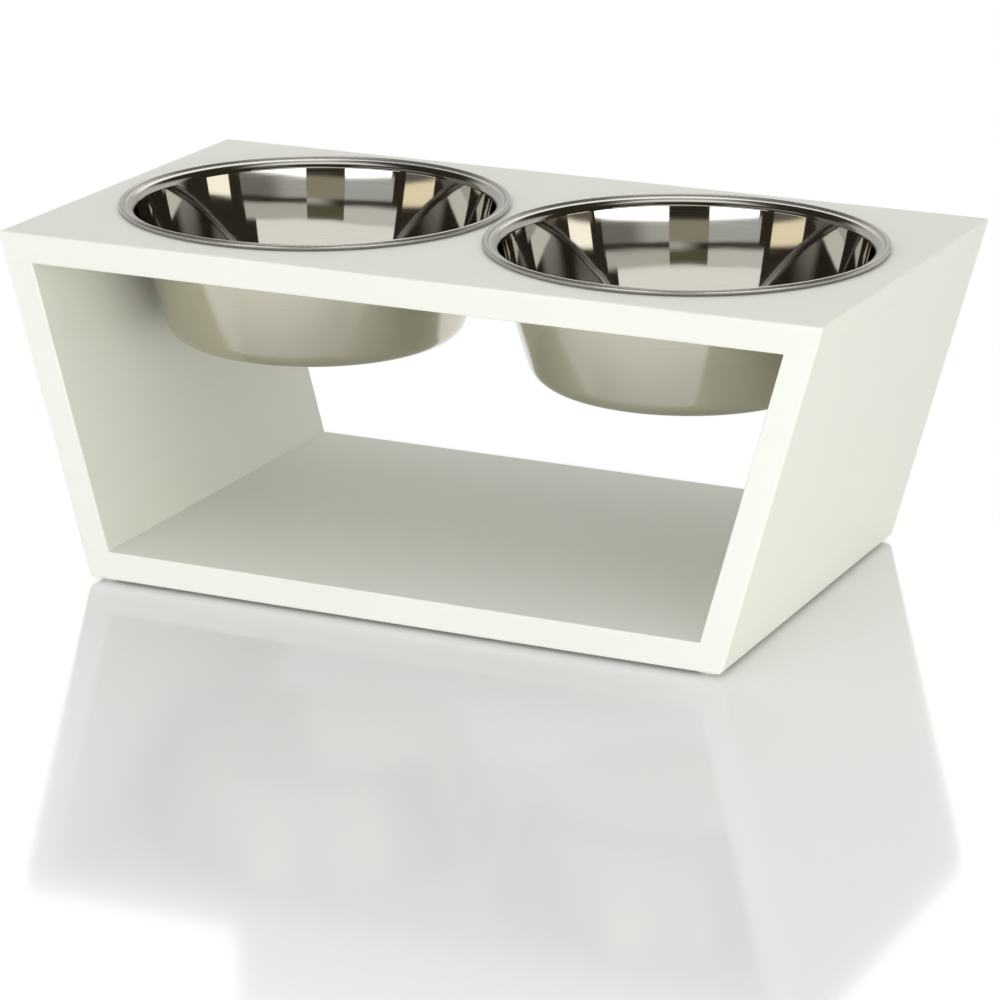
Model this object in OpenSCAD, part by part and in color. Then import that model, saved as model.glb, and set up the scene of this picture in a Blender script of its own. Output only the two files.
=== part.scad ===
// Raised pet feeder: an open frame of four painted boards carries two lift-out steel bowls.
// From the front the frame is wider at the top than at the base, and its front and back
// are open, so that the space under the bowls is a storage bay.
// X runs along the length, Y from front to back, and Z = 0 is the surface it stands on.

/* [Bowls] */
// Outer diameter of a bowl's rolled rim
rim_d = 204; // [160:1:260]
// Clear distance between the two rims
rim_gap = 5; // [2:0.5:60]
// Diameter of the rolled bead round the rim
bead_d = 3.2; // [2.4:0.1:5]
// How far the lip lies below the top of the bead
lip_drop = 1.3; // [0.6:0.1:1.6]
// Width of the bead and the flat lip together
lip_w = 3.5; // [3.3:0.1:8]
// Radius of the bend from the lip down into the wall
lip_bend_r = 5; // [3:0.5:9]
// Thickness of the steel sheet
sheet_t = 0.7; // [0.5:0.1:1]
// Depth of a bowl from the underside of its bead to its base
bowl_drop = 69; // [45:1:90]
// Lean of the wall from upright, just under the lip
wall_lean = 11.5; // [6:0.5:14]
// How many degrees the wall leans more at its foot
wall_curve = 7; // [2:0.5:16]
// Outer radius of the bend between wall and base
base_bend_r = 13; // [5:0.5:20]
// Radius of the raised disc pressed into the base
base_disc_r = 42; // [20:1:50]
// Height of the raised disc
base_disc_h = 1; // [0.5:0.1:2.5]

/* [Frame] */
// Height of the frame from the underside of the base board to the top face
frame_h = 178; // [140:1:400]
// Thickness of the boards
board_t = 15; // [12:0.5:20]
// Lean of the side boards from upright
side_lean = 15; // [0:0.5:17]
// Distance from a rim to the end of the top board
end_margin = 16.5; // [15.5:0.5:80]
// Distance from a rim to the front and back edges
front_margin = 18; // [4:0.5:60]
// Radius of the eased edges of the boards
ease_r = 1.5; // [0.5:0.1:3]
// Clearance between a bowl and its hole, at the top face
hole_clear = 1.5; // [0.8:0.1:2.2]
// Clearance between the bead and the top face, over which it lies
seat_gap = 0.2; // [0.1:0.05:0.3]

/* [Feet] */
// Diameter of a foot pad
foot_d = 11; // [6:0.5:20]
// Thickness of a foot pad
foot_h = 2; // [1:0.5:12]
// Distance from the edge of a pad to the edges of the base board
foot_margin = 3.5; // [3:0.5:40]

/* [Dowels] */
// Diameter of the wooden dowels
dowel_d = 6; // [4:0.5:8]
// Length of a dowel inside a side board
dowel_side_l = 20; // [12:1:35]
// Length of a dowel inside the top or base board
dowel_board_l = 9; // [5:0.5:10]
// Clearance round a dowel in its bore
dowel_clear = 0.05; // [0.03:0.01:0.1]
// Space left at each end of a dowel
dowel_end_gap = 0.5; // [0.2:0.1:1]
// Dowels in each joint
dowel_count = 3; // [2:1:5]
// Distance from the front and back edges to the outer dowels
dowel_margin = 30; // [15:1:60]

/* [Hidden] */
$fn = 64;

paint = [0.93, 0.93, 0.90];
steel = [0.70, 0.69, 0.66];
pad_rubber = [0.86, 0.86, 0.83];
dowel_wood = [0.80, 0.66, 0.47];

// Plan of the frame, built round the two rims
rim_r = rim_d / 2;
top_w = 2 * rim_d + rim_gap + 2 * end_margin;
depth = rim_d + 2 * front_margin;
bowl_x = (rim_d + rim_gap) / 2;

// Heights of the board faces
base_z = foot_h;
base_top_z = base_z + board_t;
top_z = base_z + frame_h;
top_under_z = top_z - board_t;

// Section of a bowl: height zero is the underside of its bead
bead_r = bead_d / 2;
bead_mid = [rim_r - bead_r, bead_r];
lip_top = bead_d - lip_drop;
lip_mid = [rim_r - lip_w, lip_top - lip_bend_r];
under_bend_r = lip_bend_r - sheet_t;
foot_lean = wall_lean + wall_curve;
wall_start = lip_mid + under_bend_r * [-cos(wall_lean), sin(wall_lean)];
wall_end_z = -bowl_drop + base_bend_r * (1 - sin(foot_lean));
wall_r = (wall_start[1] - wall_end_z) / (sin(foot_lean) - sin(wall_lean));
wall_mid = wall_start + wall_r * [-cos(wall_lean), sin(wall_lean)];
bend_mid = [wall_mid[0] + (wall_r - base_bend_r) * cos(foot_lean), base_bend_r - bowl_drop];

// A hole clears the outside of the bowl where it passes the top face
neck_drop = -seat_gap - lip_mid[1];
hole_r = lip_mid[0] - sqrt(pow(under_bend_r, 2) - pow(neck_drop, 2)) + hole_clear;

// Points along an arc, from one angle to another
function arc(mid, r, from, to, steps) =
  [for (i = [0:steps]) let (a = from + (to - from) * i / steps) mid + r * [cos(a), sin(a)]];

// Points along one face of the sheet, from the axis out to the bead: the face lies inset
// from the outside of the bowl by so much
function sheet_face(inset) = concat(
  [[0, base_disc_h - bowl_drop + inset],
   [base_disc_r, base_disc_h - bowl_drop + inset],
   [base_disc_r + base_disc_h, inset - bowl_drop]],
  arc(bend_mid, base_bend_r - inset, -90, -foot_lean, 8),
  arc(wall_mid, wall_r - inset, -foot_lean, -wall_lean, 6),
  arc(lip_mid, under_bend_r + inset, 180 - wall_lean, 90, 6),
  [[bead_mid[0], lip_top - sheet_t + inset]]
);

function reversed(list) = [for (i = [len(list) - 1:-1:0]) list[i]];

// Place of the outer face of the right-hand side board at a height
function side_x(z) = top_w / 2 - (top_z - z) * tan(side_lean);

// Rectangle with eased corners
module eased_rect(w, h) {
  square([w - 2 * ease_r, h], center = true);
  square([w, h - 2 * ease_r], center = true);
  for (x = [-1, 1], y = [-1, 1])
    translate([x * (w / 2 - ease_r), y * (h / 2 - ease_r)]) circle(ease_r);
}

// Level board with eased long edges, cut at both ends to the lean of the sides
module level_board(under_z) {
  intersection() {
    translate([-top_w / 2, 0, under_z + board_t / 2])
      rotate([90, 0, 90]) linear_extrude(top_w) eased_rect(depth, board_t);
    translate([0, depth, 0]) rotate([90, 0, 0]) linear_extrude(2 * depth)
      polygon([
        [-side_x(base_z), base_z], [side_x(base_z), base_z],
        [side_x(top_z), top_z], [-side_x(top_z), top_z]
      ]);
  }
}

// What follows is placed along the middle of the right-hand side board: the origin goes to
// its middle plane at a height, with Z up along the lean
module on_side(z) {
  translate([side_x(z) - board_t / cos(side_lean) / 2, 0, z]) rotate([0, side_lean, 0])
    children();
}

module on_both_sides() {
  children();
  mirror([1, 0, 0]) children();
}

// Places of the dowels of a joint, from front to back
module at_dowels() {
  span = depth - 2 * dowel_margin;
  for (i = [0:dowel_count - 1])
    translate([0, span * (i / (dowel_count - 1) - 0.5), 0]) children();
}

// The dowels of one right-hand joint, or their bores when grown: up is 1 where the side
// board stands above the joint and -1 where it hangs below it
module dowel_set(z, up, clear, end_gap) {
  low = up > 0 ? dowel_board_l : dowel_side_l;
  high = up > 0 ? dowel_side_l : dowel_board_l;
  on_side(z) at_dowels() translate([0, 0, -low - end_gap])
    cylinder(h = low + high + 2 * end_gap, r = dowel_d / 2 + clear, $fn = 32);
}

module dowel_bores(z, up) dowel_set(z, up, dowel_clear, dowel_end_gap);

module top_board() {
  color(paint) difference() {
    level_board(top_under_z);
    for (x = [-bowl_x, bowl_x])
      translate([x, 0, top_under_z - 1]) cylinder(h = board_t + 2, r = hole_r, $fn = 128);
    on_both_sides() dowel_bores(top_under_z, -1);
  }
}

module base_board() {
  color(paint) difference() {
    level_board(base_z);
    on_both_sides() dowel_bores(base_top_z, 1);
  }
}

// Leaning board between the base board and the top board, its ends cut level
module side_board() {
  run = (top_under_z - base_top_z) / cos(side_lean);
  color(paint) difference() {
    intersection() {
      on_side(base_top_z) translate([0, 0, -board_t])
        linear_extrude(run + 2 * board_t) eased_rect(board_t, depth);
      translate([-top_w, -depth, base_top_z])
        cube([2 * top_w, 2 * depth, top_under_z - base_top_z]);
    }
    dowel_bores(top_under_z, -1);
    dowel_bores(base_top_z, 1);
  }
}

module left_side_board() mirror([1, 0, 0]) side_board();
module right_side_board() side_board();

// Pressed sheet with a solid bead for its rolled rim
module bowl() {
  color(steel) translate([0, 0, top_z + seat_gap]) rotate_extrude($fn = 128) {
    polygon(concat(sheet_face(0), reversed(sheet_face(sheet_t))));
    translate(bead_mid) circle(bead_r, $fn = 32);
  }
}

module left_bowl() translate([-bowl_x, 0, 0]) bowl();
module right_bowl() translate([bowl_x, 0, 0]) bowl();

// Pad stuck under a corner of the base board
module foot(x, y) {
  reach = foot_margin + foot_d / 2;
  color(pad_rubber) translate([x * (side_x(base_z) - reach), y * (depth / 2 - reach), 0])
    cylinder(h = foot_h, d = foot_d, $fn = 48);
}

module front_left_foot() foot(-1, -1);
module front_right_foot() foot(1, -1);
module back_left_foot() foot(-1, 1);
module back_right_foot() foot(1, 1);

module top_right_dowels() color(dowel_wood) dowel_set(top_under_z, -1, 0, 0);
module base_right_dowels() color(dowel_wood) dowel_set(base_top_z, 1, 0, 0);
module top_left_dowels() mirror([1, 0, 0]) top_right_dowels();
module base_left_dowels() mirror([1, 0, 0]) base_right_dowels();

top_board();
base_board();
left_side_board();
right_side_board();
left_bowl();
right_bowl();
front_left_foot();
front_right_foot();
back_left_foot();
back_right_foot();
top_left_dowels();
top_right_dowels();
base_left_dowels();
base_right_dowels();
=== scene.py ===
"""A raised pet feeder: an open frame of four painted boards, with two pressed steel bowls."""

import math

import bmesh
import bpy
import numpy as np
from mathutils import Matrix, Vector


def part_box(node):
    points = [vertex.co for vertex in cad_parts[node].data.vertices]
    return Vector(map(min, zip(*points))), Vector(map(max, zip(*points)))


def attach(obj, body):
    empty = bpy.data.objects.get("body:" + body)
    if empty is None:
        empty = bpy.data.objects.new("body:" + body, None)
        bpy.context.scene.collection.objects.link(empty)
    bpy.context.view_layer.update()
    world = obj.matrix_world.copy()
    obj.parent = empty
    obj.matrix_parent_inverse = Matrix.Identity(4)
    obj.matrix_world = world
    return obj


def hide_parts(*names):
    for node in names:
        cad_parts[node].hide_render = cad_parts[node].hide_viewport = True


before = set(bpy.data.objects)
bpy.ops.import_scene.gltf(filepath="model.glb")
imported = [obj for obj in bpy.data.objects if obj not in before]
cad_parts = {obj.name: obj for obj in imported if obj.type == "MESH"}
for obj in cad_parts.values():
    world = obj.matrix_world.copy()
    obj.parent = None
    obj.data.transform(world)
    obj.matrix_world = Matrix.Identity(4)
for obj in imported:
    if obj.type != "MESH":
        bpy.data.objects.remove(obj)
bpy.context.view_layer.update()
scene = bpy.context.scene
scene.view_settings.view_transform = "Standard"


# Camera
# It stands to the front right of the feeder, a little above the rims, and looks down
# across both bowls. Distances are in metres.
EYE = Vector((0.8508, -1.8067, 0.6637))
AIM = Vector((0.0018, 0.0, 0.0329))
LENS_MM = 144.73

camera = bpy.data.objects.new("camera", bpy.data.cameras.new("camera"))
camera.data.lens = LENS_MM
camera.data.sensor_width = 36
camera.location = EYE
camera.rotation_euler = (AIM - EYE).to_track_quat("-Z", "Y").to_euler()
scene.collection.objects.link(camera)
scene.camera = camera


# Room
# A white studio. Polished steel shows the half of it that stands behind the camera: a dim
# room with two low soft boxes, cream boards beside them and a bright ceiling light. Matte
# surfaces get an even fill from each side, and the light of two low key lights.
DIM_ROOM = (0.032, 0.026, 0.017)
SOFT_BOX = (2.6, 2.6, 2.5)

# Azimuth is 0 in front of the feeder and 90 to its right, and all angles are in degrees. The
# soft boxes end on both sides of a gap, and the bands over them share their edges.
GAP_LEFT, GAP_RIGHT = 8, 33.5
BOX_LOW, BOX_TOP = -4, 11.1
BAND_TOP = 13.65
SILL_LOW, SILL_TOP = 14.4, 16.1

# Each panel covers those before it
ROOM_PANELS = {  # left, right, lowest, highest, blur, colour
    "right back wall": (125, 182, -91, 38, 7, (0.56, 0.55, 0.52)),
    "left back wall": (-182, -104, -91, 38, 7, (0.50, 0.49, 0.47)),
    "high sheet behind": (-176, -145, 30, 76, 5, (1.30, 1.30, 1.25)),
    "ceiling": (-182, 182, 80, 103, 12, (0.50, 0.50, 0.48)),
    "ceiling light": (-50, 95, 62, 92, 10, (1.00, 0.99, 0.95)),
    "high right board": (46, 72, 38, 52, 6, (0.17, 0.165, 0.15)),
    "high left board": (-60, -2, 30, 42, 6, (0.26, 0.25, 0.235)),
    "left wall": (-104, -67, BOX_LOW, 34, 2, (0.17, 0.16, 0.14)),
    "left grey board": (-75, -34, BOX_LOW, 11.9, 0.3, (0.13, 0.12, 0.11)),
    "right grey board": (84, 118, BOX_LOW, 11.7, 0.3, (0.15, 0.12, 0.09)),
    "right band": (GAP_RIGHT, 78, 9, 15, 0.2, (0.19, 0.185, 0.155)),
    "haze over the gap": (20, 52, 1, 24, 10, (0.46, 0.45, 0.42)),
    "gap": (GAP_LEFT, GAP_RIGHT, BOX_LOW, BOX_TOP, 0.3, DIM_ROOM),
    "slot over the right band": (GAP_RIGHT, 78, BAND_TOP, SILL_LOW, 0.2, DIM_ROOM),
    "left sill": (-30, GAP_LEFT, SILL_LOW, SILL_TOP, 0.3, (0.66, 0.65, 0.60)),
    "middle sill": (GAP_LEFT, GAP_RIGHT, SILL_LOW, SILL_TOP, 0.3, (0.10, 0.095, 0.05)),
    "right sill": (GAP_RIGHT, 77, SILL_LOW, SILL_TOP, 0.3, (0.54, 0.52, 0.46)),
    "strip light": (-30, 70, SILL_TOP, 19.6, 0.3, (0.95, 0.94, 0.88)),
    "left band": (-26, GAP_LEFT, BOX_TOP, BAND_TOP, 0.2, (0.46, 0.47, 0.45)),
    "middle band": (GAP_LEFT, GAP_RIGHT, BOX_TOP, BAND_TOP, 0.2, (0.31, 0.28, 0.20)),
    "left soft box": (-24, GAP_LEFT, BOX_LOW, BOX_TOP, 0.3, SOFT_BOX),
    "right soft box": (GAP_RIGHT, 82, BOX_LOW, BOX_TOP, 0.3, SOFT_BOX),
    "right cream board": (86, 102, 11.7, 14, 0.3, (1.35, 1.27, 1.06)),
    "left cream board": (-57, -34, 11.9, 14.1, 0.3, (1.02, 0.89, 0.62)),
}

# Level edges sink to either side of the middle, with the square of the angle and as far as the
# reach, as edges of flat panels do
PANEL_MIDDLE, PANEL_REACH, PANEL_FALL = 24.0, 85.0, 0.00112

FILL_FRONT = (1.09, 1.105, 1.18)
FILL_SIDE = (0.70, 0.685, 0.61)
FILL_RIGHT = (0.32, 0.31, 0.25)
FILL_BACK = (0.50, 0.50, 0.49)
FILL_TOP = (0.90, 0.905, 0.915)

KEY_LIGHTS = [  # azimuth, elevation, width and height in metres, radiance, colour
    (58, 4, 1.75, 0.60, 3.9, (1.0, 0.985, 0.90)),
    (-8, 5, 1.20, 0.60, 2.7, (0.955, 0.975, 1.0)),
]
KEY_TARGET = Vector((0, 0, 0.1))
KEY_DISTANCE = 2.2


def add_node(tree, kind, inputs=None, **settings):
    """Adds a node, sets its properties, and feeds its inputs from values or other sockets."""
    node = tree.nodes.new(kind)
    for name, value in settings.items():
        setattr(node, name, value)
    for key, value in (inputs or {}).items():
        if isinstance(value, bpy.types.NodeSocket):
            tree.links.new(value, node.inputs[key])
        else:
            node.inputs[key].default_value = value
    return node


def calc(tree, operation, *values):
    """One step of arithmetic on sockets or numbers."""
    return add_node(tree, "ShaderNodeMath", dict(enumerate(values)), operation=operation).outputs[0]


def ramp(tree, value, start, end):
    """Goes smoothly from 0 where the value is at start to 1 where it is at end."""
    inputs = {"Value": value, "From Min": start, "From Max": end}
    node = add_node(tree, "ShaderNodeMapRange", inputs, interpolation_type="SMOOTHSTEP")
    return node.outputs["Result"]


def mix_colour(tree, share, first, second):
    """Goes from the first colour to the second as share goes from 0 to 1."""
    node = add_node(tree, "ShaderNodeMix", {0: share}, data_type="RGBA")
    for socket, colour in ((node.inputs[6], first), (node.inputs[7], second)):
        if isinstance(colour, bpy.types.NodeSocket):
            tree.links.new(colour, socket)
        else:
            socket.default_value = (*colour, 1)
    return node.outputs[2]


def new_group(name, inputs, outputs):
    """An empty node group with the named inputs and outputs: gives its tree and the sockets."""
    group = bpy.data.node_groups.new(name, "ShaderNodeTree")
    for title, kind in inputs.items():
        group.interface.new_socket(title, in_out="INPUT", socket_type=kind)
    for title, kind in outputs.items():
        group.interface.new_socket(title, in_out="OUTPUT", socket_type=kind)
    inlet = group.nodes.new("NodeGroupInput")
    outlet = group.nodes.new("NodeGroupOutput")
    return group, inlet.outputs, outlet.inputs


def make_panel_group():
    """A panel of the room: 1 inside its bounds of azimuth and elevation, blurred to 0 outside."""
    floats = ["Azimuth", "Elevation", "Left", "Right", "Low", "High", "Blur"]
    group, given, out = new_group(
        "room_panel", dict.fromkeys(floats, "NodeSocketFloat"), {"Mask": "NodeSocketFloat"})

    def past(value, edge):
        start = calc(group, "SUBTRACT", given[edge], given["Blur"])
        end = calc(group, "ADD", given[edge], given["Blur"])
        return ramp(group, given[value], start, end)

    across = calc(group, "SUBTRACT", past("Azimuth", "Left"), past("Azimuth", "Right"))
    up = calc(group, "SUBTRACT", past("Elevation", "Low"), past("Elevation", "High"))
    group.links.new(calc(group, "MULTIPLY", across, up), out["Mask"])
    return group


scene.world = bpy.data.worlds.new("studio")
scene.world.use_nodes = True
scene.world.cycles.sampling_method = "NONE"
sky = scene.world.node_tree
sky.nodes.clear()
heading = add_node(sky, "ShaderNodeTexCoord").outputs["Generated"]
axes = add_node(sky, "ShaderNodeSeparateXYZ", {0: heading}).outputs
frontness = calc(sky, "MULTIPLY", axes["Y"], -1.0)
azimuth = calc(sky, "DEGREES", calc(sky, "ARCTAN2", axes["X"], frontness))
elevation = calc(sky, "DEGREES", calc(sky, "ARCSINE", axes["Z"]))
aside = calc(sky, "POWER", calc(sky, "SUBTRACT", azimuth, PANEL_MIDDLE), 2.0)
aside = calc(sky, "MINIMUM", aside, PANEL_REACH ** 2)
elevation = calc(sky, "MULTIPLY_ADD", aside, PANEL_FALL, elevation)

panel_group = make_panel_group()
mirrored_room = DIM_ROOM
for left, right, low, high, blur, colour in ROOM_PANELS.values():
    panel = add_node(sky, "ShaderNodeGroup", {
        "Azimuth": azimuth, "Elevation": elevation, "Left": left, "Right": right,
        "Low": low, "High": high, "Blur": blur}, node_tree=panel_group)
    mirrored_room = mix_colour(sky, panel.outputs["Mask"], mirrored_room, colour)

# The fill turns from one side's to the next, between two shares of the way towards that side
fill = mix_colour(sky, ramp(sky, frontness, 0.0, 0.95), FILL_SIDE, FILL_FRONT)
fill = mix_colour(sky, ramp(sky, axes["X"], 0.6, 1.0), fill, FILL_RIGHT)
fill = mix_colour(sky, ramp(sky, axes["Y"], -0.05, 0.8), fill, FILL_BACK)
fill = mix_colour(sky, ramp(sky, axes["Z"], 0.35, 0.95), fill, FILL_TOP)

# The steel shows the room, but passes the fill on to the boards
rays = add_node(sky, "ShaderNodeLightPath").outputs
seen = calc(sky, "MAXIMUM", rays["Is Camera Ray"], rays["Is Transmission Ray"])
first_hit = calc(sky, "LESS_THAN", rays["Diffuse Depth"], 0.5)
mirrored = calc(sky, "MULTIPLY", rays["Is Glossy Ray"], first_hit)
light = mix_colour(sky, mirrored, fill, mirrored_room)
light = mix_colour(sky, seen, light, (1, 1, 1))
background = add_node(sky, "ShaderNodeBackground", {"Color": light, "Strength": 1.0})
add_node(sky, "ShaderNodeOutputWorld", {"Surface": background.outputs[0]})

for index, (turn, rise, width, height, radiance, tint) in enumerate(KEY_LIGHTS):
    lamp = bpy.data.lights.new(f"key_light_{index}", "AREA")
    lamp.shape = "RECTANGLE"
    lamp.size, lamp.size_y = width, height
    lamp.energy = radiance * math.pi * width * height
    lamp.color = tint
    key = bpy.data.objects.new(lamp.name, lamp)
    around, up = math.radians(turn), math.radians(rise)
    aim = Vector((math.sin(around) * math.cos(up), -math.cos(around) * math.cos(up),
                  math.sin(up)))
    key.location = KEY_TARGET + KEY_DISTANCE * aim
    key.rotation_euler = aim.to_track_quat("Z", "Y").to_euler()
    key.visible_camera = False
    key.visible_glossy = False
    scene.collection.objects.link(key)


# Floor
# A sheet of glossy white plastic. It keeps the feeder's shadow and a soft reflection of it,
# and turns to plain white a little way off, soonest behind the feeder.
FLOOR_REACH = 6.0

# Half the size of the feeder's foot, how far the floor's own look reaches beyond it, and the
# shares of that reach between which it turns plain white
FEEDER_HALF_X, FEEDER_HALF_Y = 0.18, 0.12
WHITE_FRONT, WHITE_SIDE, WHITE_BACK = 0.52, 0.46, 0.055
WHITE_FOR_CAMERA, WHITE_FOR_STEEL = (0.70, 1.0), (0.02, 0.30)

PLASTIC = (0.848, 0.867, 0.857, 1)


def new_material(name):
    """A node material with an empty tree."""
    material = bpy.data.materials.new(name)
    material.use_nodes = True
    material.node_tree.nodes.clear()
    return material, material.node_tree


def make_floor_material():
    """White plastic near the feeder, which turns to plain white further off, for what is seen
    directly or in the steel: from the first to the second share of the reach on each side."""
    material, tree = new_material("white_plastic_sheet")
    place = add_node(tree, "ShaderNodeTexCoord").outputs["Object"]
    xyz = add_node(tree, "ShaderNodeSeparateXYZ", {0: place}).outputs

    def beyond(value, start, reach):
        over = calc(tree, "MAXIMUM", calc(tree, "SUBTRACT", value, start), 0.0)
        return calc(tree, "POWER", calc(tree, "DIVIDE", over, reach), 2.0)

    to_side = beyond(calc(tree, "ABSOLUTE", xyz["X"]), FEEDER_HALF_X, WHITE_SIDE)
    to_back = beyond(xyz["Y"], FEEDER_HALF_Y, WHITE_BACK)
    to_front = beyond(calc(tree, "MULTIPLY", xyz["Y"], -1.0), FEEDER_HALF_Y, WHITE_FRONT)
    away = calc(tree, "SQRT", calc(tree, "ADD", to_side, calc(tree, "ADD", to_back, to_front)))
    sheet = add_node(tree, "ShaderNodeBsdfPrincipled", {
        "Base Color": PLASTIC, "Roughness": 0.10, "IOR": 1.5})
    white = add_node(tree, "ShaderNodeEmission", {"Color": (1, 1, 1, 1), "Strength": 1.0})
    rays = add_node(tree, "ShaderNodeLightPath").outputs
    direct = calc(tree, "MULTIPLY", rays["Is Camera Ray"], ramp(tree, away, *WHITE_FOR_CAMERA))
    mirrored = calc(tree, "MULTIPLY", rays["Is Glossy Ray"], ramp(tree, away, *WHITE_FOR_STEEL))
    mixed = add_node(tree, "ShaderNodeMixShader", {
        0: calc(tree, "MAXIMUM", direct, mirrored), 1: sheet.outputs[0], 2: white.outputs[0]})
    add_node(tree, "ShaderNodeOutputMaterial", {"Surface": mixed.outputs[0]})
    return material


floor_mesh = bpy.data.meshes.new("floor")
floor_mesh.from_pydata(
    [(-FLOOR_REACH, -FLOOR_REACH, 0), (FLOOR_REACH, -FLOOR_REACH, 0),
     (FLOOR_REACH, FLOOR_REACH, 0), (-FLOOR_REACH, FLOOR_REACH, 0)], [], [(0, 1, 2, 3)])
floor_mesh.materials.append(make_floor_material())
floor = bpy.data.objects.new("floor", floor_mesh)
scene.collection.objects.link(floor)


# Cards
# Bright sheets of tracing film stand behind the feeder, with a gap in their middle, and to its
# left and right. Only the gloss of the floor shows their light, so that it isn't dark from any
# side and the sheets frame the feeder's reflection in it.
CARD_Y, CARD_HEIGHT, CARD_REACH = 0.25, 1.0, 1.6
CARD_LEFT_X, CARD_RIGHT_X = -0.30, 0.08
CARD_SIDE_X = 0.90
CARD_GLOW = 2.05

card_material, card_tree = new_material("bright_card")
glow = add_node(card_tree, "ShaderNodeEmission", {"Color": (1, 1, 1, 1), "Strength": CARD_GLOW})
clear = add_node(card_tree, "ShaderNodeBsdfTransparent")
lit = add_node(card_tree, "ShaderNodeAddShader", {0: glow.outputs[0], 1: clear.outputs[0]})
add_node(card_tree, "ShaderNodeOutputMaterial", {"Surface": lit.outputs[0]})
card_mesh = bpy.data.meshes.new("cards")
card_lines = [
    ((-CARD_REACH, CARD_Y), (CARD_LEFT_X, CARD_Y)),
    ((CARD_RIGHT_X, CARD_Y), (CARD_REACH, CARD_Y)),
    ((-CARD_SIDE_X, -CARD_REACH), (-CARD_SIDE_X, CARD_Y)),
    ((CARD_SIDE_X, -CARD_REACH), (CARD_SIDE_X, CARD_Y)),
]
card_mesh.from_pydata(
    [(*place, z) for start, end in card_lines for place, z in
     ((start, 0), (end, 0), (end, CARD_HEIGHT), (start, CARD_HEIGHT))],
    [], [range(first, first + 4) for first in range(0, 4 * len(card_lines), 4)])
card_mesh.materials.append(card_material)
cards = bpy.data.objects.new("cards", card_mesh)
cards.visible_camera = False
cards.visible_diffuse = False
cards.visible_shadow = False
cards.visible_transmission = False
scene.collection.objects.link(cards)
shown_in = bpy.data.collections.new("shows_the_cards")
shown_in.objects.link(floor)
cards.light_linking.receiver_collection = shown_in


# Top board
# A 15 mm board of fine fibreboard with two round holes, its ends bevelled to the lean of the
# sides. It is routed, its edges are eased by hand, and it is painted warm white.
top_low, top_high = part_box("top_board")
base_low, base_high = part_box("base_board")
side_low, side_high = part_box("right_side_board")
bowl_low, bowl_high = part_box("right_bowl")
bowl_x = (bowl_low.x + bowl_high.x) / 2
LEAN = (top_high.x - base_high.x) / (top_high.z - base_high.z)
BOARD_RUN = base_high.x - side_low.x

# Radii of the eased edges: outside, inside the frame, round a hole and where two boards meet,
# with the stretch over which a long edge turns sharp just before a side board
OUTER_EASE, INNER_EASE, HOLE_EASE, SEAM_EASE = 0.0015, 0.0010, 0.0008, 0.00012
SEAM_REACH, SEAM_RUN_OUT = 0.0002, 0.0014

# Spacing along the sides, points of a quarter circle, and points along the board's middle
SIDE_STEP = 0.004
CORNER_POINTS = 7
MIDDLE_POINTS = 60

# An end leans fully over its last stretch, less and less further in, and not at all round the
# hole with this margin
END_RUN, HOLE_CLEAR = 0.006, 0.003

PAINT_DIM, PAINT_BRIGHT = (0.862, 0.866, 0.790), (0.882, 0.886, 0.812)
# Along the eased edges the paint is brighter and warmer as a painted highlight, and glossier where
# rubbed
PAINT_EDGE_HIGHLIGHT, RUBBED_GLOSS = (0.935, 0.925, 0.825), 0.16
DIMPLE_SIZE, DIMPLE_DEPTH = 0.0011, 0.00003

# The hole's radius is the least distance of the board's points from the hole's axis
top_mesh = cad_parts["top_board"].data
board_points = np.zeros(len(top_mesh.vertices) * 3)
top_mesh.vertices.foreach_get("co", board_points)
hole_radius = np.hypot(board_points[0::3] - bowl_x, board_points[1::3]).min()


def walk_outline(half_x, half_y, corner_radii, step):
    """Outline of a rectangle, counter-clockwise from the middle of its front side: each side in
    equal steps and each corner on a quarter circle. Gives the points and the outward directions.
    The radii are those of the front right, back right, back left and front left corners."""
    corners = np.array([[half_x, -half_y], [half_x, half_y], [-half_x, half_y], [-half_x, -half_y]])
    outward = np.array([[0, -1], [1, 0], [0, 1], [-1, 0], [0, -1]])
    points = [np.array([[0, -half_y]])]
    normals = [outward[:1]]
    for corner, radius, before, after in zip(corners, corner_radii, outward[:-1], outward[1:]):
        turn = np.linspace(0, math.pi / 2, CORNER_POINTS)[:, None]
        normal = np.cos(turn) * before + np.sin(turn) * after
        arc = corner - radius * (before + after) + radius * normal
        points, normals = add_side(points, normals, arc[0], before, step)
        points.append(arc)
        normals.append(normal)
    points, normals = add_side(points, normals, points[0][0], outward[0], step)
    return np.concatenate(points), np.concatenate(normals)


def add_side(points, normals, end, normal, step):
    """Adds the equal steps of a straight side, without its two ends; an even number of parts."""
    start = points[-1][-1]
    parts = 2 * math.ceil(np.linalg.norm(end - start) / step / 2)
    share = np.linspace(0, 1, parts + 1)[1:-1, None]
    points.append(start + share * (end - start))
    normals.append(np.repeat(normal[None], parts - 1, 0))
    return points, normals


def eased_wall(points, normals, low, high, low_ease, high_ease):
    """Rows of points up the wall of a board: a quarter circle from the under face, the wall, and
    a quarter circle to the upper face. The radii may differ from point to point."""
    turn = np.linspace(0, math.pi / 2, CORNER_POINTS)[:, None]
    low_ease = np.broadcast_to(low_ease, len(points))
    high_ease = np.broadcast_to(high_ease, len(points))
    wall = np.linspace(0.1, 0.9, 5)[:, None]
    inset = np.concatenate([low_ease * (1 - np.sin(turn)), 0 * wall * low_ease,
                            high_ease * (1 - np.cos(turn))])
    bottom, top = low + low_ease, high - high_ease
    height = np.concatenate([low + low_ease * (1 - np.cos(turn)), bottom + wall * (top - bottom),
                             top + high_ease * np.sin(turn)])
    plan = points[None] - inset[..., None] * normals[None]
    return np.concatenate([plan, height[..., None]], 2)


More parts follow.
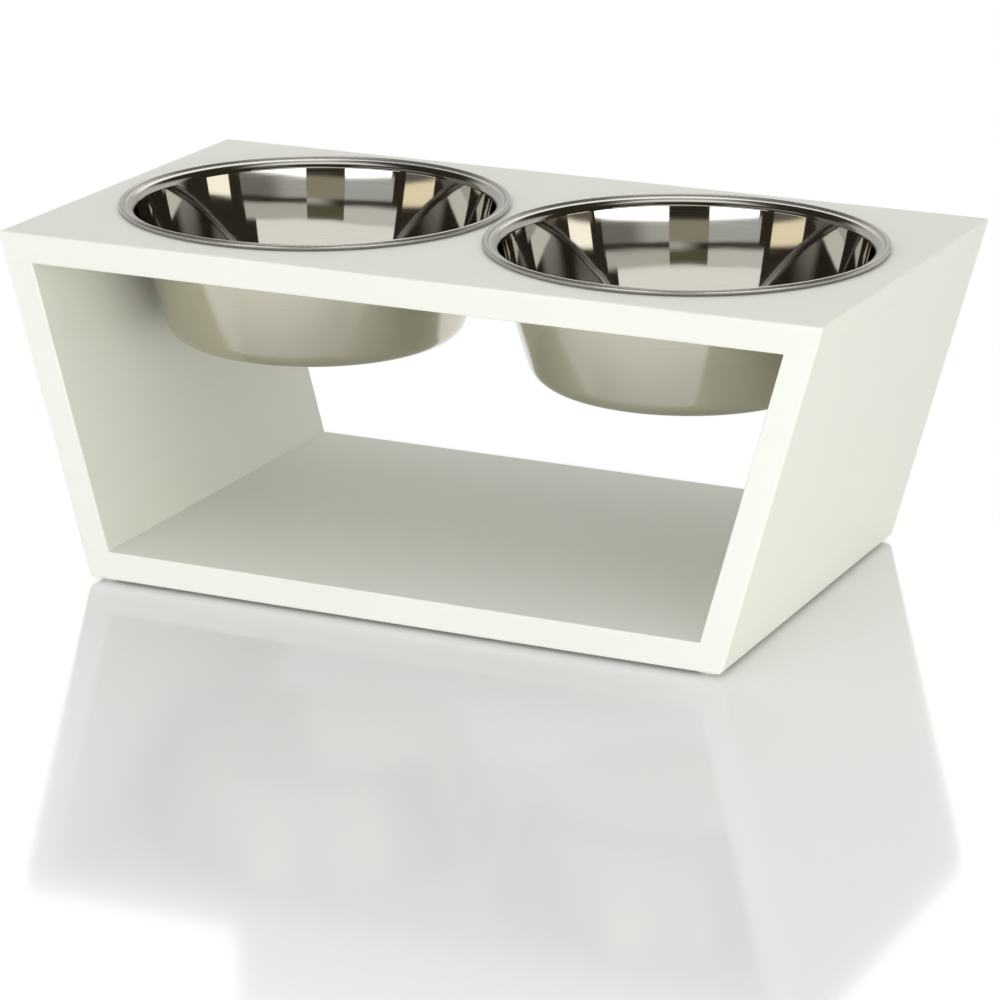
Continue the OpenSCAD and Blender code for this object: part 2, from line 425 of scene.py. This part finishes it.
def grid_faces(rows, columns, wrap_rows=False, wrap_columns=True):
    """Quads of a grid of points, one row after the other, facing out of an anticlockwise ring."""
    row = np.arange(rows if wrap_rows else rows - 1)[:, None]
    column = np.arange(columns if wrap_columns else columns - 1)[None]
    next_row, next_column = (row + 1) % rows, (column + 1) % columns
    corners = [row * columns + column, row * columns + next_column,
               next_row * columns + next_column, next_row * columns + column]
    return np.stack(np.broadcast_arrays(*corners), 2)


def lean_ends(points, level, start, end):
    """Leans the ends of a board like the side boards: below the level, points beyond start go
    inwards in proportion to their depth, fully beyond end."""
    x, z = points[..., 0], points[..., 2]
    share = np.clip((np.abs(x) - start) / (end - start), 0, 1)
    leaned = points.copy()
    leaned[..., 0] -= np.sign(x) * share * LEAN * (level - z)
    return leaned


def make_piece(name, points, faces, materials, body, replaced, finish=None):
    """A mesh object from points and faces, smooth, closed and facing out. It rides on a body of
    the frame and stands for one of its nodes. The finish gives each face's material."""
    mesh = bpy.data.meshes.new(name)
    mesh.from_pydata(points.tolist(), [], faces)
    if finish is not None:
        mesh.polygons.foreach_set("material_index", finish)
    shell = bmesh.new()
    shell.from_mesh(mesh)
    bmesh.ops.remove_doubles(shell, verts=shell.verts, dist=1e-7)
    bmesh.ops.delete(shell, geom=[v for v in shell.verts if not v.link_faces], context="VERTS")
    bmesh.ops.recalc_face_normals(shell, faces=shell.faces)
    shell.to_mesh(mesh)
    shell.free()
    mesh.shade_smooth()
    for material in materials:
        mesh.materials.append(material)
    piece = bpy.data.objects.new(name, mesh)
    scene.collection.objects.link(piece)
    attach(piece, body)
    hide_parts(replaced)
    return piece


def keep_faces_flat(piece):
    """Large flat faces keep their own normal, so only the eased edges shade as round."""
    piece.modifiers.new("flat_faces", "WEIGHTED_NORMAL").weight = 80


def make_stipple_group():
    """The skin that a foam roller leaves in paint: round dimples about a millimetre wide on
    slow swells, given as a height and as a patchy share."""
    group, given, out = new_group(
        "roller_stipple", {"Place": "NodeSocketVector", "Dimple size": "NodeSocketFloat"},
        {"Height": "NodeSocketFloat", "Patches": "NodeSocketFloat"})
    fineness = calc(group, "DIVIDE", 1.0, given["Dimple size"])
    dimples = add_node(group, "ShaderNodeTexNoise", {
        "Vector": given["Place"], "Scale": fineness, "Detail": 2.0, "Roughness": 0.45})
    swells = add_node(group, "ShaderNodeTexNoise", {
        "Vector": given["Place"], "Scale": 45.0, "Detail": 1.0})
    patches = add_node(group, "ShaderNodeTexNoise", {
        "Vector": given["Place"], "Scale": 7.0, "Detail": 3.0, "Roughness": 0.55})
    height = calc(group, "MULTIPLY_ADD", swells.outputs[0], 3.0, dimples.outputs[0])
    group.links.new(height, out["Height"])
    group.links.new(patches.outputs[0], out["Patches"])
    return group


def find_edges(tree, normal, patches):
    """1 where the surface turns from one face of a board to the next, and 0 on the faces, which
    look along Y, along Z or square to the lean. The paint's patches break it up."""
    parts = add_node(tree, "ShaderNodeSeparateXYZ", {0: normal}).outputs
    across, along, up = (calc(tree, "ABSOLUTE", parts[axis]) for axis in "XYZ")
    lean = math.atan(LEAN)
    leaning = calc(tree, "MULTIPLY_ADD", across, math.cos(lean),
                   calc(tree, "MULTIPLY", up, math.sin(lean)))
    flatness = calc(tree, "MAXIMUM", leaning, calc(tree, "MAXIMUM", along, up))
    turning = calc(tree, "SUBTRACT", 1.0, ramp(tree, flatness, 0.90, 0.992))
    return calc(tree, "MULTIPLY", turning, ramp(tree, patches, 0.30, 0.55))


def make_board_paint():
    """Satin warm-white paint, rolled on: faintly stippled, a little uneven in gloss, and rubbed
    smoother along the eased edges, where a brighter, warmer colour is a painted highlight."""
    material, tree = new_material("rolled_white_paint")
    where = add_node(tree, "ShaderNodeTexCoord").outputs
    stipple = add_node(tree, "ShaderNodeGroup", {
        "Place": where["Object"], "Dimple size": DIMPLE_SIZE}, node_tree=stipple_group)
    patches = stipple.outputs["Patches"]
    rubbed_and_highlit = find_edges(tree, where["Normal"], patches)
    colour = mix_colour(tree, ramp(tree, patches, 0.35, 0.65), PAINT_DIM, PAINT_BRIGHT)
    # Painted highlight: the eased edges are painted brighter and warmer
    colour = mix_colour(tree, rubbed_and_highlit, colour, PAINT_EDGE_HIGHLIGHT)
    roughness = add_node(tree, "ShaderNodeMapRange", {
        "Value": patches, "From Min": 0.3, "From Max": 0.7, "To Min": 0.48, "To Max": 0.58})
    roughness = calc(tree, "MULTIPLY_ADD", rubbed_and_highlit, -RUBBED_GLOSS, roughness.outputs[0])
    bump = add_node(tree, "ShaderNodeBump", {
        "Strength": 0.35, "Distance": DIMPLE_DEPTH, "Height": stipple.outputs["Height"]})
    paint = add_node(tree, "ShaderNodeBsdfPrincipled", {
        "Base Color": colour, "Roughness": roughness, "Normal": bump.outputs[0]})
    add_node(tree, "ShaderNodeOutputMaterial", {"Surface": paint.outputs[0]})
    return material


def inner_edge_ease(x, inner_x, end_ease):
    """Radius along a long edge of a level board: eased between the sides, and sharp where a side
    board meets it, with a short run-out between."""
    share = np.clip((inner_x + SEAM_REACH - np.abs(x)) / SEAM_RUN_OUT, 0, 1)
    return end_ease + (INNER_EASE - end_ease) * share * share * (3 - 2 * share)


def make_top_board():
    """Half the board is a grid round its hole: up the outer wall, across the upper face, down
    the hole's wall and back across the under face. The other half mirrors it."""
    low, high = top_low.z, top_high.z
    points, normals = walk_outline(top_high.x, top_high.y, [OUTER_EASE] * 4, SIDE_STEP)
    half = int(np.argmax(points[:, 0] < -1e-9))
    points, normals = points[:half], normals[:half]
    inner_x = top_high.x - LEAN * (high - low) - BOARD_RUN
    low_ease = inner_edge_ease(points[:, 0], inner_x, SEAM_EASE)
    low_ease = np.where(np.abs(normals[:, 1]) > 0.99, low_ease, SEAM_EASE)
    wall = eased_wall(points, normals, low, high, low_ease, OUTER_EASE)

    # From the back to the front the ring runs along the middle, where the board goes on, so that
    # it has no wall there
    middle = np.zeros((len(wall), MIDDLE_POINTS, 3))
    middle[..., 1] = np.linspace(top_high.y, -top_high.y, MIDDLE_POINTS + 2)[1:-1]
    middle[..., 2] = np.where(np.arange(len(wall)) < len(wall) / 2, low, high)[:, None]
    outer = np.concatenate([wall, middle], 1)
    towards = outer[0, :, :2] - (bowl_x, 0)
    towards /= np.linalg.norm(towards, axis=1, keepdims=True)
    ring = hole_radius * towards + (bowl_x, 0)
    hole = eased_wall(ring, -towards, low, high, HOLE_EASE, HOLE_EASE)
    grid = np.concatenate([outer, hole[::-1]])
    columns = grid.shape[1]
    faces = grid_faces(len(grid), columns, wrap_rows=True)
    in_middle = np.arange(columns) >= len(points) - 1
    open_wall = (np.arange(len(grid)) < len(wall) - 1)[:, None] & in_middle[None]
    faces = faces[~open_wall]
    lean_start = bowl_x + hole_radius + HOLE_CLEAR
    grid = lean_ends(grid.reshape(-1, 3), high, lean_start, top_high.x - END_RUN)
    mirrored = grid * (-1, 1, 1)
    both = np.concatenate([grid, mirrored])
    all_faces = faces.tolist() + (faces[:, ::-1] + len(grid)).tolist()
    piece = make_piece("painted_top_board", both, all_faces, [board_paint],
                       "frame", "top_board")
    keep_faces_flat(piece)


stipple_group = make_stipple_group()
board_paint = make_board_paint()
make_top_board()


# Base board
# The same board without holes. It closes the frame at the bottom, and its ends are eased
# further because they are what meets the floor when the feeder is tipped.
BASE_END_EASE = 0.0025
BASE_LEAN_RUN = 0.020


def add_block(name, wall, replaced):
    """Closes a ring of walls with a flat face at each end, and makes the board of it."""
    rows, columns = wall.shape[:2]
    faces = grid_faces(rows, columns).reshape(-1, 4).tolist()
    faces.append(list(range(columns))[::-1])
    faces.append(list(range((rows - 1) * columns, rows * columns)))
    piece = make_piece(name, wall.reshape(-1, 3), faces, [board_paint],
                       "frame", replaced)
    keep_faces_flat(piece)


def make_base_board():
    """A ring of points round the board, carried up its wall, with flat faces below and above."""
    low, high = base_low.z, base_high.z
    points, normals = walk_outline(base_high.x, base_high.y, [OUTER_EASE] * 4, SIDE_STEP)
    top_ease = inner_edge_ease(points[:, 0], base_high.x - BOARD_RUN, SEAM_EASE)
    top_ease = np.where(np.abs(normals[:, 1]) > 0.99, top_ease, SEAM_EASE)
    endness = np.abs(normals[:, 0])
    low_ease = OUTER_EASE + (BASE_END_EASE - OUTER_EASE) * endness
    wall = eased_wall(points, normals, low, high, low_ease, top_ease)
    wall = lean_ends(wall, high, base_high.x - BASE_LEAN_RUN, base_high.x - END_RUN)
    add_block("painted_base_board", wall, "base_board")


make_base_board()


# Side boards
# Two boards that lean outward going up, cut level at both ends and dowelled and glued
# between the base and the top.


def make_side_board(side, name, replaced):
    """An upright board with eased long edges, then leaned: each level moves outward in
    proportion to its height."""
    low, high = side_low.z, side_high.z
    radii = [OUTER_EASE, OUTER_EASE, INNER_EASE, INNER_EASE]
    points, normals = walk_outline(BOARD_RUN / 2, side_high.y, radii, SIDE_STEP)
    wall = eased_wall(points, normals, low, high, SEAM_EASE, SEAM_EASE)
    wall[..., 0] += base_high.x - BOARD_RUN / 2 + LEAN * (wall[..., 2] - low)
    wall[..., 0] *= side
    add_block(name, wall, replaced)


make_side_board(1, "painted_right_side", "right_side_board")
make_side_board(-1, "painted_left_side", "left_side_board")


# Dowels
# Groups of three 6 mm beech dowels, glued into the side boards and the level boards. They
# are out of sight, so the frame's own solids stay and take the colour of bare wood.
BEECH_DARK, BEECH_PALE = (0.55, 0.36, 0.18), (0.68, 0.49, 0.28)
GRAIN_SCALE = (900, 900, 60)


def make_beech():
    """Bare beech: the grain runs along the dowels, in fine pale and brown flecks."""
    material, tree = new_material("bare_beech")
    place = add_node(tree, "ShaderNodeTexCoord").outputs["Object"]
    along = add_node(tree, "ShaderNodeMapping", {"Vector": place, "Scale": GRAIN_SCALE})
    grain = add_node(tree, "ShaderNodeTexNoise", {
        "Vector": along.outputs[0], "Scale": 1.0, "Detail": 4.0, "Roughness": 0.6})
    colour = mix_colour(tree, ramp(tree, grain.outputs[0], 0.35, 0.65), BEECH_DARK, BEECH_PALE)
    bump = add_node(tree, "ShaderNodeBump", {
        "Strength": 0.5, "Distance": 0.00005, "Height": grain.outputs[0]})
    beech = add_node(tree, "ShaderNodeBsdfPrincipled", {
        "Base Color": colour, "Roughness": 0.6, "Normal": bump.outputs[0]})
    add_node(tree, "ShaderNodeOutputMaterial", {"Surface": beech.outputs[0]})
    return material


beech = make_beech()
for joint in ("top_left", "top_right", "base_left", "base_right"):
    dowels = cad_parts[f"{joint}_dowels"]
    dowels.data.materials.clear()
    dowels.data.materials.append(beech)


# Feet
# Soft pale rubber pads, punched from sheet and stuck under the corners of the base board.
PAD_EASE = 0.0004
PAD_AROUND, PAD_EASE_POINTS = 48, 5
RUBBER_DARK, RUBBER_PALE = (0.62, 0.62, 0.57), (0.74, 0.74, 0.69)


def make_pad_rubber():
    """Pale rubber with a fine pebbled skin, darker in the hollows of the pebbling."""
    material, tree = new_material("pale_rubber")
    place = add_node(tree, "ShaderNodeTexCoord").outputs["Object"]
    pebbles = add_node(tree, "ShaderNodeTexNoise", {
        "Vector": place, "Scale": 2500.0, "Detail": 2.0, "Roughness": 0.5})
    colour = mix_colour(tree, ramp(tree, pebbles.outputs[0], 0.3, 0.7), RUBBER_DARK, RUBBER_PALE)
    bump = add_node(tree, "ShaderNodeBump", {
        "Strength": 0.5, "Distance": 0.00004, "Height": pebbles.outputs[0]})
    rubber = add_node(tree, "ShaderNodeBsdfPrincipled", {
        "Base Color": colour, "Roughness": 0.75, "Normal": bump.outputs[0]})
    add_node(tree, "ShaderNodeOutputMaterial", {"Surface": rubber.outputs[0]})
    return material


def arc_points(middle, radius, start, end, count, crowd_ends=False):
    """Points along a circle in a section, at equal steps of angle. Crowded ends follow the
    cosine of equal steps instead, so that the smooth shading of a bend stays on the bend."""
    share = np.linspace(0, 1, count)
    if crowd_ends:
        share = (1 - np.cos(math.pi * share)) / 2
    angle = (start + (end - start) * share)[:, None]
    return np.asarray(middle) + radius * np.hstack([np.cos(angle), np.sin(angle)])


def spin(section, centre, around):
    """Turns a section about an upright axis: a grid of rings, from one end on the axis to the
    other. Gives the points and the faces."""
    angle = np.linspace(0, 2 * math.pi, around, endpoint=False)
    turn = np.stack([np.cos(angle), np.sin(angle)], 1)
    plan = section[:, None, :1] * turn[None] + centre[:2]
    height = np.broadcast_to(section[:, None, 1:] + centre[2], (*plan.shape[:2], 1))
    return np.concatenate([plan, height], 2), grid_faces(len(section), around)


pad_rubber = make_pad_rubber()
for corner in ("front_left", "front_right", "back_left", "back_right"):
    pad_low, pad_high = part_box(f"{corner}_foot")
    pad_radius, pad_height = (pad_high.x - pad_low.x) / 2, pad_high.z - pad_low.z
    pad_section = np.concatenate([
        [[0, 0], [pad_radius / 2, 0]],
        arc_points((pad_radius - PAD_EASE, PAD_EASE), PAD_EASE, -math.pi / 2, 0, PAD_EASE_POINTS),
        arc_points((pad_radius - PAD_EASE, pad_height - PAD_EASE), PAD_EASE, 0, math.pi / 2,
                   PAD_EASE_POINTS),
        [[pad_radius / 2, pad_height], [0, pad_height]],
    ])
    pad_centre = ((pad_low.x + pad_high.x) / 2, (pad_low.y + pad_high.y) / 2, pad_low.z)
    pad_points, pad_faces = spin(pad_section, pad_centre, PAD_AROUND)
    make_piece(f"rubber_pad_{corner}", pad_points.reshape(-1, 3), pad_faces.reshape(-1, 4).tolist(),
               [pad_rubber], "frame", f"{corner}_foot")


# Bowls
# Deep-drawn from 0.7 mm stainless sheet: a raised disc in the base, a wall that leans a
# little more towards its foot, a narrow lip and an edge rolled under into a bead. Polished
# to a mirror inside and over the rim, and left satin outside. They rest in the holes.
SHEET = 0.0007
BEAD_R = 0.0016
LIP_WIDTH = 0.0035
LIP_DROP = 0.0013
LIP_BEND_R = 0.005
WALL_LEAN = math.radians(11.5)
FOOT_LEAN = math.radians(18.5)
BASE_BEND_R = 0.013
DISC_R, DISC_STEP, DISC_H = 0.0415, 0.002, 0.001
ROLL_END = math.radians(-155)
rim_radius = (bowl_high.x - bowl_low.x) / 2

# Points round a bowl, and the flat stretch kept on both sides of the disc's step
AROUND = 256
STEP_MARGIN = 0.001

MIRROR_COLOUR = (0.70, 0.685, 0.65)
SATIN_COLOUR = (0.58, 0.55, 0.455)
# Painted shade: a dark colour laid on the outer, lower part of the bead
PAINTED_BEAD_SHADE = (0.36, 0.345, 0.31)

# Wear sets in and is full where the radius plus the height is so much less than the rim's
BEND_WEAR_FROM, BEND_WEAR_FULL = 0.0105, 0.0055
BEAD_WEAR_FROM, BEAD_WEAR_FULL = 0.0040, 0.0020
BEND_DULL, BEAD_DULL, BEAD_HAZE = 0.10, 0.13, 0.12
ROLL_DULL = 0.10

# Height on the bead at which the painted shade on its lower part sets in, and over which it gets
# full, in radii of the bead from its middle
ROLL_SHADE_FROM, ROLL_SHADE_OVER = 0.20, 0.50


def bowl_section():
    """The upper face of the sheet as radius and height above the bead's underside, from the
    axis out: base with its disc, bend, wall, lip, groove and rolled bead."""
    drop = bowl_high.z - 2 * BEAD_R - bowl_low.z
    bead = np.array([rim_radius - BEAD_R, BEAD_R])
    lip_top = 2 * BEAD_R - LIP_DROP
    lip = np.array([rim_radius - LIP_WIDTH, lip_top - LIP_BEND_R])
    under_r = LIP_BEND_R - SHEET
    wall_start = lip + under_r * np.array([-math.cos(WALL_LEAN), math.sin(WALL_LEAN)])
    wall_end_z = -drop + BASE_BEND_R * (1 - math.sin(FOOT_LEAN))
    wall_r = (wall_start[1] - wall_end_z) / (math.sin(FOOT_LEAN) - math.sin(WALL_LEAN))
    wall = wall_start + wall_r * np.array([-math.cos(WALL_LEAN), math.sin(WALL_LEAN)])
    bend = np.array([wall[0] + (wall_r - BASE_BEND_R) * math.cos(FOOT_LEAN), BASE_BEND_R - drop])
    base_r = np.concatenate([
        np.linspace(0, DISC_R - STEP_MARGIN, 12),
        DISC_R + DISC_STEP * np.linspace(0, 1, 9),
        np.linspace(DISC_R + DISC_STEP + STEP_MARGIN, bend[0], 9)[:-1],
    ])
    step = np.clip((base_r - DISC_R) / DISC_STEP, 0, 1)
    base_z = SHEET - drop + DISC_H * (1 - step * step * (3 - 2 * step))

    # The groove is a circle that touches the flat of the lip and the bead
    run = lip[0] - bead[0]
    groove_r = (run * run + lip_top ** 2 - 2 * lip_top * bead[1] + bead[1] ** 2 - BEAD_R ** 2) / (
        2 * (BEAD_R + bead[1] - lip_top))
    groove = np.array([lip[0], lip_top + groove_r])
    meet = math.atan2(bead[1] - groove[1], bead[0] - groove[0])
    return np.concatenate([
        np.column_stack([base_r, base_z]),
        arc_points(bend, BASE_BEND_R - SHEET, -math.pi / 2, -FOOT_LEAN, 14),
        arc_points(wall, wall_r - SHEET, -FOOT_LEAN, -WALL_LEAN, 26, crowd_ends=True)[1:],
        arc_points(lip, LIP_BEND_R, math.pi - WALL_LEAN, math.pi / 2, 16)[1:],
        arc_points(groove, groove_r, -math.pi / 2, meet, 6)[1:],
        arc_points(bead, BEAD_R, math.pi + meet, ROLL_END, 30)[1:],
    ])


def thicken(section, thickness):
    """The other face of the sheet: each point moved by the thickness square to its run. The
    first point lies on the axis and moves straight down."""
    run = np.gradient(section, axis=0)
    run /= np.linalg.norm(run, axis=1, keepdims=True)
    square = np.column_stack([run[:, 1], -run[:, 0]])
    square[0] = (0, -1)
    return section + thickness * square


def places_from(piece, centre):
    """Where the points of a mesh lie, measured from a centre."""
    place = np.zeros(len(piece.data.vertices) * 3)
    piece.data.vertices.foreach_get("co", place)
    return place.reshape(-1, 3) - centre


def store_turning(piece, centre):
    """Stores what the finish follows. One attribute holds each point's direction from the axis
    and its radius plus its height, which grows all the way from the axis to the rim. Another is
    1 on the outer, lower part of the bead, where the steel gets a painted shade."""
    place = places_from(piece, centre)
    radius = np.hypot(place[:, 0], place[:, 1])
    outward = place[:, :2] / np.maximum(radius, 1e-9)[:, None]
    spun = piece.data.attributes.new("spun", "FLOAT_VECTOR", "POINT")
    spun.data.foreach_set("vector", np.column_stack([outward, radius + place[:, 2]]).ravel())
    height = (place[:, 2] - BEAD_R) / BEAD_R
    under = np.clip((ROLL_SHADE_FROM - height) / ROLL_SHADE_OVER, 0, 1)
    painted_bead_shade_mask = piece.data.attributes.new("painted_bead_shade_mask", "FLOAT", "POINT")
    painted_bead_shade_mask.data.foreach_set("value", under * (radius > rim_radius - BEAD_R))


def map_around(piece, centre):
    """Maps the mesh so that U runs once round the bowl and V along its section. A corner's U is
    its face's own plus the short way round to the corner, so no face is stretched at the seam."""
    mesh = piece.data
    place = places_from(piece, centre)
    radius = np.hypot(place[:, 0], place[:, 1])
    along = radius + place[:, 2]
    corner = np.zeros(len(mesh.loops), np.int32)
    mesh.loops.foreach_get("vertex_index", corner)
    size = np.zeros(len(mesh.polygons), np.int32)
    mesh.polygons.foreach_get("loop_total", size)
    middle = np.zeros(len(mesh.polygons) * 3)
    mesh.polygons.foreach_get("center", middle)
    middle = middle.reshape(-1, 3) - centre
    face_angle = np.repeat(np.arctan2(middle[:, 1], middle[:, 0]), size)
    off = np.arctan2(place[corner, 1], place[corner, 0]) - face_angle
    off = np.where(radius[corner] > 1e-6, (off + math.pi) % (2 * math.pi) - math.pi, 0)
    turns = (face_angle + off) / (2 * math.pi) + 0.5
    around = mesh.uv_layers.new(name="around")
    around.data.foreach_set("uv", np.column_stack([turns, along[corner]]).ravel())


def make_polish_group():
    """Fine circular marks of polishing: noise stretched round the axis and short along the
    section. Gives the marks as a height, and slow dents of the drawn sheet."""
    group, given, out = new_group(
        "turned_marks", {"Spun": "NodeSocketVector", "Marks per metre": "NodeSocketFloat"},
        {"Marks": "NodeSocketFloat", "Dents": "NodeSocketFloat"})
    parts = add_node(group, "ShaderNodeSeparateXYZ", {0: given["Spun"]}).outputs
    far_along = calc(group, "MULTIPLY", parts["Z"], given["Marks per metre"])
    stretched = add_node(group, "ShaderNodeCombineXYZ", {
        "X": parts["X"], "Y": parts["Y"], "Z": far_along})
    marks = add_node(group, "ShaderNodeTexNoise", {
        "Vector": stretched.outputs[0], "Scale": 1.6, "Detail": 4.0, "Roughness": 0.6})
    slow_along = calc(group, "MULTIPLY", parts["Z"], 22.0)
    slow = add_node(group, "ShaderNodeCombineXYZ", {
        "X": parts["X"], "Y": parts["Y"], "Z": slow_along})
    dents = add_node(group, "ShaderNodeTexNoise", {
        "Vector": slow.outputs[0], "Scale": 2.2, "Detail": 1.0})
    group.links.new(marks.outputs[0], out["Marks"])
    group.links.new(dents.outputs[0], out["Dents"])
    return group


def make_steel(name, colour, smear, rough_low, rough_high, wear_and_bead_shade, marks_per_metre, mark_height,
               dent_height):
    """Stainless steel with turned marks: the roughness and the bump follow the marks. The share of
    wear and shade, from 0 to 1, dulls the bend of the lip and the bead, where hands and cloths
    rub, and darkens the lower part of the bead with a painted shade."""
    material, tree = new_material(name)
    spun = add_node(tree, "ShaderNodeAttribute", attribute_name="spun").outputs["Vector"]
    turned = add_node(tree, "ShaderNodeGroup", {
        "Spun": spun, "Marks per metre": marks_per_metre}, node_tree=polish_group)
    marks = turned.outputs["Marks"]
    roughness = add_node(tree, "ShaderNodeMapRange", {
        "Value": marks, "From Min": 0.3, "From Max": 0.7,
        "To Min": rough_low, "To Max": rough_high})
    along = add_node(tree, "ShaderNodeSeparateXYZ", {0: spun}).outputs["Z"]
    on_bend = ramp(tree, along, rim_radius - BEND_WEAR_FROM, rim_radius - BEND_WEAR_FULL)
    on_bead = ramp(tree, along, rim_radius - BEAD_WEAR_FROM, rim_radius - BEAD_WEAR_FULL)
    roughness = calc(tree, "MULTIPLY_ADD", on_bend, BEND_DULL * wear_and_bead_shade, roughness.outputs[0])
    roughness = calc(tree, "MULTIPLY_ADD", on_bead, BEAD_DULL * wear_and_bead_shade, roughness)
    metallic = calc(tree, "MULTIPLY_ADD", on_bead, -BEAD_HAZE * wear_and_bead_shade, 1.0)
    dented = add_node(tree, "ShaderNodeBump", {
        "Strength": 1.0, "Distance": dent_height, "Height": turned.outputs["Dents"]})
    bump = add_node(tree, "ShaderNodeBump", {
        "Strength": 1.0, "Distance": mark_height, "Height": marks, "Normal": dented.outputs[0]})
    tint = mix_colour(tree, ramp(tree, marks, 0.3, 0.7), tuple(0.96 * c for c in colour), colour)
    # Painted shade: the outer, lower part of the bead is darkened, and made a little rougher
    under = add_node(tree, "ShaderNodeAttribute", attribute_name="painted_bead_shade_mask").outputs["Fac"]
    under = calc(tree, "MULTIPLY", under, wear_and_bead_shade)
    tint = mix_colour(tree, under, tint, PAINTED_BEAD_SHADE)
    roughness = calc(tree, "MULTIPLY_ADD", under, ROLL_DULL, roughness)
    steel = add_node(tree, "ShaderNodeBsdfPrincipled", {
        "Base Color": tint, "Metallic": metallic, "Roughness": roughness,
        "Anisotropic": smear, "Anisotropic Rotation": 0.25, "Normal": bump.outputs[0]})
    around = add_node(tree, "ShaderNodeTangent", direction_type="UV_MAP", uv_map="around")
    tree.links.new(around.outputs[0], steel.inputs["Tangent"])
    add_node(tree, "ShaderNodeOutputMaterial", {"Surface": steel.outputs[0]})
    return material


polish_group = make_polish_group()
mirror_steel = make_steel(
    "mirror_steel", MIRROR_COLOUR, smear=0.0, rough_low=0.02, rough_high=0.05, wear_and_bead_shade=1.0,
    marks_per_metre=900, mark_height=0.0000004, dent_height=0.00003)
satin_steel = make_steel(
    "satin_steel", SATIN_COLOUR, smear=0.5, rough_low=0.14, rough_high=0.20, wear_and_bead_shade=0.0,
    marks_per_metre=1600, mark_height=0.0000005, dent_height=0.00002)


def make_bowl(side, name, replaced):
    """Spins both faces of the sheet as one closed section, mirror polished on its upper face."""
    upper = bowl_section()
    section = np.concatenate([upper, thicken(upper, SHEET)[::-1]])
    centre = (side * bowl_x, 0, bowl_high.z - 2 * BEAD_R)
    points, faces = spin(section, centre, AROUND)
    satin = np.repeat(np.arange(len(section) - 1) >= len(upper) - 1, AROUND).astype(np.int32)
    piece = make_piece(name, points.reshape(-1, 3), faces.reshape(-1, 4)[:, ::-1].tolist(),
                       [mirror_steel, satin_steel], replaced, replaced, satin)
    store_turning(piece, centre)
    map_around(piece, centre)


make_bowl(-1, "steel_left_bowl", "left_bowl")
make_bowl(1, "steel_right_bowl", "right_bowl")
